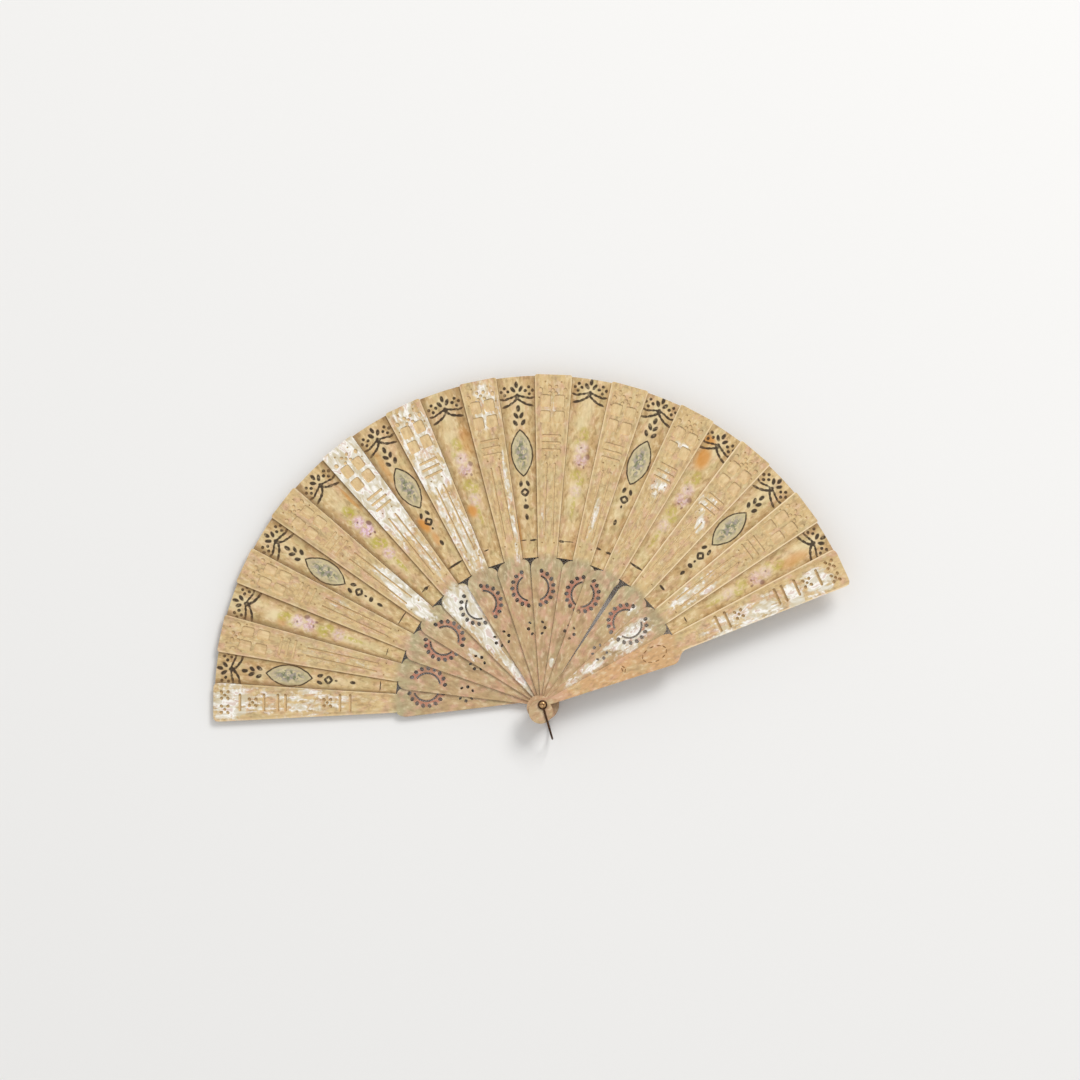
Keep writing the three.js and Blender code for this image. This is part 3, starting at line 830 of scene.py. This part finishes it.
def silk_strip(across, left_turn, right_turn, rows, relief=None):
    """Cloth between two ribs' lines. Each place across is a share of the way from the left line to
    the right one, with the height of its back; relief adds height from the place in millimetres."""
    bm = bmesh.new()
    bmesh.ops.create_grid(bm, x_segments=len(across) - 1, y_segments=rows, size=0.5)
    place_in_pleat = bm.verts.layers.float.new("across")
    for vert in bm.verts:
        share, height = across[round((vert.co.x + 0.5) * (len(across) - 1))]
        vert[place_in_pleat] = share
        distance = between(vert.co.y, -0.5, 0.5, leaf_inner, leaf_outer)
        bearing = between(share, 0, 1, left_turn(distance), right_turn(distance))
        lift = relief(-distance * bearing, distance, share) if relief else 0
        vert.co = (-distance * math.sin(bearing), distance * math.cos(bearing), height + lift)
    bm.normal_update()
    bmesh.ops.solidify(bm, geom=bm.faces[:], thickness=-silk_thickness)
    bmesh.ops.recalc_face_normals(bm, faces=bm.faces)
    return bm


def rib_line(name, side, offset, turn=0):
    """Bearing in radians, to the left of a centre line, of a line beside a rib's right or left edge."""
    start, sizes = math.radians(turn), sizes_of(name)
    return lambda distance: start - side * math.atan((rib_half(sizes, distance) + offset) / distance)


def cut_area(left_turn, right_turn):
    """Area in square metres of the flat cloth between two lines."""
    rings = [between(step + 0.5, 0, area_steps, leaf_inner, leaf_outer) for step in range(area_steps)]
    widths = [(left_turn(ring) - right_turn(ring)) * ring for ring in rings]
    return sum(widths) / len(widths) * (leaf_outer - leaf_inner) * millimetre ** 2


def declare_silk(left_turn, right_turn, extra):
    width = (left_turn(leaf_outer) - right_turn(leaf_outer)) * leaf_outer + extra
    length = leaf_outer - leaf_inner
    area = cut_area(left_turn, right_turn) + extra * length * millimetre ** 2


# The look of the cloth: a close plain weave, pulled threads and old creases that run with the pleats.
def silk_cloth():
    """Colour and relief of aged tan silk, from a place on the leaf in millimetres."""
    given, results = group_with("silk_cloth", {"Place": "Vector", "Seed": "Float"},
                                {"Color": "Color", "Relief": "Float"})
    own = seeded(given["Place"], given["Seed"])
    threads = drawn_cloud(own, (1, 0.1), 1.9)
    creases = drawn_cloud(own, (1, 0.03), 3.2, 2, 0.2)
    slubs = drawn_cloud(own, (0.14, 1), 1.8, 2)
    flecks = cloud(own, 2.4, 3, 0.4)
    warp_yarn, weft_yarn = [drawn_cloud(own, shares, 0.33, 1) for shares in ((1, 0.12), (0.12, 1))]
    yarns = times(maths("ADD", warp_yarn, weft_yarn), 0.5)
    colour = tones(drawn_cloud(own, (1, 0.35), 14, 3, 0.3),
                   (0.28, (190, 153, 102)), (0.58, (213, 183, 131)), (0.75, (198, 157, 106)))
    colour = aged(own, colour, ((212, 168, 138), 0.4), ((194, 182, 130), 0.42))
    colour = shaded(colour, (threads, 0.50, 0.76), (creases, 0.50, 0.76), (slubs, 0.40, 0.81),
                    (flecks, 0.50, 0.76), (yarns, 0.10, 0.95))
    colour = speckled(own, colour, 0.3, (0.52, 0.66, (242, 220, 176), 0.5), (0.48, 0.34, (142, 108, 64), 0.5))
    relief = maths("MULTIPLY_ADD", creases, 1.6, times(threads, 0.5))
    feed(results, {"Color": colour, "Relief": maths("MULTIPLY_ADD", yarns, 0.35, relief)})
    return results.id_data


silk_look = silk_cloth()


def silk_finish(name, bearing, seed, paint_over):
    """Silk laid along a bearing. paint_over adds to the cloth's colour, from a place on the leaf."""
    material, shader = new_finish(name)
    place = along_stick(shader, bearing)
    cloth = use_group(silk_look, Place=place, Seed=seed)
    feed(shader, {"Base Color": paint_over(place, cloth["Color"]), "Roughness": 0.62,
                  "Specular IOR Level": 0.3, "Sheen Weight": 0.12, "Sheen Roughness": 0.4})
    roughen(shader, cloth["Relief"], 0.6, 0.2)
    return material


def painted_lighter(share):
    """Paints glued silk lighter all over: painted light that lifts the shade where it shows through the ribs'
    holes.
    """
    return lambda place, colour: blend(share, colour, paint(236, 208, 160))


for index, name in enumerate(stick_names):
    node = f"{name}_silk"
    back, front = height_of(node)
    left_turn = rib_line(name, -1, -silk_inset)
    across = [(step / glued_columns, 0) for step in range(glued_columns + 1)]
    if name == "front_guard":
        right_turn, lip = rib_line(name, 1, -silk_inset), 0
    else:
        right_turn, lip = rib_line(name, 1, edge_clearance + silk_thickness), front - back
        across.append((1, lip))
    glued = silk_strip(across, left_turn, right_turn, glued_rows)
    finish = silk_finish(f"silk_{name}", direction(name), first_glued_seed + index,
                         painted_lighter(rear_guard_painted_light if name == "rear_guard" else glued_painted_light))
    piece = show(f"silk_behind_{name}", glued, node, [finish], in_place(name, back), 50)
    declare_silk(left_turn, right_turn, max(lip - silk_thickness, 0))

# Free pleats
# Between two ribs the same silk is free. It swells a little and ripples.
# It is printed in brown with bows along the outer edge, and with ovals and roses on every other pleat.
pleat_count = last_stick
silk_tuck = 1.5
free_columns, free_rows, first_free_seed = 26, 96, 61
oval_offset, oval_radius = 15.8, 24.1


def ink_spots(place, marks, soft=0.22):
    return most([spot(place, *mark, soft=soft) for mark in marks])


def mirrored(place):
    """Folds the plane over the centre line, so that marks at the right are printed at the left too."""
    parts = parts_of(place)
    return joined(maths("ABSOLUTE", parts["X"]), parts["Y"])


def ribbon(points, width):
    """Brush strokes from point to point, as ovals that overlap."""
    strokes = []
    for (x, y), (u, v) in zip(points, points[1:]):
        turn = math.degrees(math.atan2(v - y, u - x)) - 90
        strokes.append(((x + u) / 2, (y + v) / 2, width, math.hypot(u - x, v - y) * 1.3, turn))
    return strokes


def bow_print():
    """A bow: two pairs of ribbon ends, three buds on the knot and a ring of four dots at each side."""
    given, results = group_with("bow_print", {"Place": "Vector"}, {"Ink": "Float"})
    middle = ink_spots(given["Place"], [(0, 9.6, 2.9, 5.2), (0, 0.4, 3.6, 5.0)])
    sides = ribbon([(0, 1), (3, 0.6), (6, -0.6), (10, -2), (13.6, -1.2)], 1.9)
    sides += ribbon([(0, -1), (3, -3.9), (7, -6.2), (11.8, -7.7)], 2.1)
    sides += [(3.1, 6.2, 2.9, 5.4, -35)]
    sides += [(9.6 + 2.8 * u, 4.5 + 2.8 * v, 2.6, 2.6) for u, v in ((1, 0), (-1, 0), (0, 1), (0, -1))]
    ink = most([middle, ink_spots(mirrored(given["Place"]), sides)])
    feed(results, {"Ink": ink})
    return results.id_data


def oval_print():
    """A pointed oval with a dim blue-green figure, between two columns of dots, about its own middle."""
    given, results = group_with("oval_print", {"Place": "Vector", "Dot": "Float"},
                                {"Ink": "Float", "Fill": "Float", "Figure": "Float"})
    place = given["Place"]
    folded = mirrored(place)
    reach = vector_maths("LENGTH", lay(folded, (oval_offset, 0, 0)))
    depth = maths("SUBTRACT", reach, oval_radius)
    outline = fade(maths("ABSOLUTE", depth), 0.85, 0.3)
    middle = [(0, 35.2, 3.2, 5.2), (0, -37.3, 1.6, 2.4), (0, -50.5, 2.6, 4.8)]
    sides = [(2.1, 29.6, 3.0, 5.4, -32), (3.1, 23.9, 3.1, 5.2, -32), (2.7, -24.3, 2.8, 4.8, 20)]
    sides += ribbon([(0, -28.1), (2.8, -31.1), (0, -34.1)], 2.0)
    low_dot = times(spot(place, 0, -42.3, 4.3, 3.7, soft=0.2), given["Dot"])
    ink = most([outline, ink_spots(place, middle), ink_spots(folded, sides), low_dot])
    broken = fade(drawn_cloud(place, (1, 0.7), 3.0, 3, 0.8), 0.38, 0.5)
    figure = times(spot(place, 0, 0, 10, 24, soft=0.5), broken)
    feed(results, {"Ink": ink, "Fill": fade(depth, 0.2, -0.6), "Figure": figure})
    return results.id_data


def rose_print():
    """Two pink roses with a dark hip beside them, leaves above and below, and a fainter rose."""
    given, results = group_with("rose_print", {"Place": "Vector"},
                                {"Leaf": "Float", "Rose": "Float", "Heart": "Float"})
    place = given["Place"]
    leaves = ink_spots(place, [(0.5, 215, 7, 12, 12), (-3.5, 207, 4, 8, 30), (-1.5, 183, 9, 9, 20),
                               (2.5, 178, 6, 8, -30), (0, 158, 3, 18, 0)], 0.45)
    blooms = [times(spot(place, *where, soft=0.45), strength)
              for *where, strength in ((0, 204, 10, 9, 0.85), (0.5, 195, 10.5, 10, 1.0), (0, 170, 9, 9, 0.6))]
    hearts = ink_spots(place, [(5.6, 198, 3.4, 4.6, 20), (-0.5, 204.5, 1.8, 1.6), (0, 191, 2.2, 1.6),
                               (3.8, 189.5, 1.8, 2.6)], 0.35)
    broken = fade(cloud(place, 2.6, 3, 0.6), 0.36, 0.56)
    petals = fade(cloud(place, 2.2, 3, 1.0), 0.34, 0.5)
    feed(results, {"Leaf": times(leaves, broken), "Heart": hearts, "Rose": times(most(blooms), petals)})
    return results.id_data


ink_brown = (52, 38, 24)
bow, pointed_oval, roses = bow_print(), oval_print(), rose_print()

# How strong the painted highlight down each pleat's crest is, and how dark the painted shade in its folds
# beside the ribs is
crest_highlight = [0.5, 0.9, 0.6, 0.5, 0.4, 0.6, 0.5, 0.6, 0.5, 0.5, 0.5, 0.6]
pleat_edge_shade = [0.6, 0.65, 0.65, 0.65, 0.65, 0.5, 0.45, 0.2, 0.25, 0.3, 0.3, 0.4]
# Where the knot of each bow lies, where each oval's middle lies, and how strong each garland is
knot_distance = [246.5, 246, 245.5, 245, 244.5, 243.5, 243, 247, 247.5, 245, 246.5, 247]
oval_distance = {1: 201.3, 3: 200.8, 5: 200.8, 7: 198.8, 9: 204.8, 11: 201.8}
without_low_dot = (1, 5, 9)
rose_strength = {2: 0.75, 4: 1.0, 6: 0.6, 8: 0.55, 10: 0.55, 12: 0.45}
# The printed border near the leaf's inner edge, mostly worn away: across, along, width and length
border_marks = {1: [(0, 129, 8, 0.9)], 2: [(0, 129.5, 6, 0.7)], 3: [(0, 130, 12, 1.0)],
                4: [(0, 129.5, 9, 1.0), (0.5, 129.5, 4.4, 2.6)], 5: [(0, 129.8, 14, 1.9)],
                6: [(-4, 129, 4, 1.2)], 7: [(3.6, 129.5, 5.6, 1.7), (-4, 130, 5, 0.8)],
                8: [(-4.5, 129.3, 4.2, 2.2), (1, 129.6, 8, 0.7)],
                9: [(-5, 130.3, 5.6, 2.0), (4.5, 129.8, 5.2, 2.0)],
                10: [(-0.5, 131.2, 13.5, 1.9)], 11: [(-2.5, 131.5, 5.6, 2.2)], 12: [(0, 131, 4, 1)]}
# Stains: across, along, width, length, turn, strength
rust_stains = {2: [(-4, 216, 7, 8, 0, 0.35)], 4: [(8.5, 221, 2.6, 22, 0, 0.55)],
               5: [(-4.5, 169, 7, 13, 10, 0.85), (-2, 155, 5, 12, 0, 0.5), (-7, 226, 5, 30, 0, 0.35)],
               6: [(-4.5, 162, 8, 9.5, 20, 0.8), (9, 216, 12, 22, 0, 0.4)],
               7: [(-6.5, 134, 2.2, 26, 2, 0.6), (-9, 200, 2.5, 14, 0, 0.4)],
               10: [(-4, 231, 11, 18, 8, 0.8), (-8, 246, 11, 7, 0, 0.75)], 12: [(3, 228, 9, 26, 0, 0.45)]}


def printed(number):
    """What age and the printer left on one pleat, as a function that paints over the silk's colour."""
    def paint_over(place, colour):
        across = add_node("Attribute", tree=place.id_data, attribute_name="across").outputs["Fac"]
        # Painted highlight: a pale cream crest down the middle of the pleat, in patches, fading in from the
        # inner edge
        crest_patches = cloud(lay(place, (first_free_seed + number, 0, 0)), 22)
        painted_crest = times(fade(across, 0.12, 0.34), fade(across, 0.74, 0.5),
                      fade(crest_patches, 0.36, 0.6), fade(parts_of(place)["Y"], leaf_inner, leaf_inner + 60))
        colour = tint(colour, painted_crest, (234, 216, 172), crest_highlight[number - 1])
        drawn = bent_by_cloud(place, 5 + number * 0.1, 1.3)
        for *where, strength in rust_stains.get(number, []):
            colour = tint(colour, spot(drawn, *where, soft=0.5), (210, 140, 54), strength)

        knot = lay(drawn, (0, -knot_distance[number - 1], 0))
        inks = [use_group(bow, Place=knot)["Ink"], ink_spots(drawn, border_marks[number])]
        if number % 2:
            middle = lay(drawn, (0, -oval_distance[number], 0))
            column = use_group(pointed_oval, Place=middle, Dot=0 if number in without_low_dot else 1)
            colour = tint(colour, column["Fill"], (200, 194, 156), 0.55)
            figure = tones(cloud(place, 3.0, 2), (0.38, (84, 98, 68)), (0.6, (154, 142, 140)))
            colour = tint(colour, column["Figure"], figure, 0.8)
            inks.append(column["Ink"])
        else:
            garland = use_group(roses, Place=drawn)
            strength = rose_strength[number]
            petal = cloud(lay(place, (9, 0, 0)), 2.6, 2)
            petal = tones(petal, (0.4, (208, 160, 180)), (0.56, (236, 208, 222)))
            colour = tint(colour, garland["Leaf"], (184, 172, 62), 0.55 * strength + 0.25)
            colour = tint(colour, garland["Rose"], petal, 0.9 * strength)
            colour = tint(colour, garland["Heart"], (122, 78, 74), 0.4 * strength + 0.4)
        worn = fade(cloud(lay(place, (0, number * 17.0, 0)), 3.0, 4), 0.3, 0.5)
        left_ink = times(most(inks), maths("MULTIPLY_ADD", worn, 0.34, 0.62))
        colour = tint(colour, left_ink, ink_brown)
        # Painted shade: darker brown bands along both edges of the pleat, beside the ribs
        painted_edge_shade = most([fade(across, 0.2, 0.02), fade(across, 0.72, 0.95)])
        return tint(colour, painted_edge_shade, (128, 94, 54), pleat_edge_shade[number - 1])
    return paint_over


def pleat_relief(number):
    """Height that the cloth adds: a low swell that grows outward, and ripples along the pleat."""
    def height(x, y, share):
        free = math.sin(math.pi * min(max(share, 0), 1))
        outward = between(y, leaf_inner, leaf_outer, 0.35, 1)
        ripple = noise.noise(Vector((x / 7, y / 46, number * 3.7)))
        fine = noise.noise(Vector((x / 2.6, y / 30, number * 5.3)))
        return outward * free * max(0.28 + 0.42 * ripple + 0.14 * fine, 0)
    return height


for number in range(1, pleat_count + 1):
    node = f"pleat_{number}"
    before, after = stick_names[number - 1], stick_names[number]
    opening = direction(before) - direction(after)
    left_turn = rib_line(before, 1, edge_clearance, opening / 2)
    right_turn = rib_line(after, -1, -silk_tuck, -opening / 2)
    back, _ = height_of(node)
    across = [(step / free_columns, 0) for step in range(free_columns + 1)]
    free = silk_strip(across, left_turn, right_turn, free_rows, pleat_relief(number))
    finish = silk_finish(f"silk_{node}", direction(node), first_free_seed + number, printed(number))
    piece = show(f"free_{node}", free, node, [finish], in_place(node, back), 50)
    declare_silk(left_turn, right_turn, 0)
    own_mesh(piece)

# Rivet, front head
# The front end of the rod is hammered to a low dome. The punch that closed it left a dimple.
head_foot, _ = height_of("rivet_front_head")
dome = [(0, 0), (2.3, 0), (2.56, 0.14), (2.6, 0.42), (2.46, 0.72), (2.16, 1.0), (1.74, 1.22), (1.26, 1.35),
        (0.88, 1.4), (0.66, 1.34), (0.5, 1.16), (0.4, 0.98), (0.22, 0.9), (0, 0.88)]
front_head = turned([(distance, head_foot + height) for distance, height in dome])
show("rivet_head_in_front", front_head, "rivet_front_head", [rivet_brass])
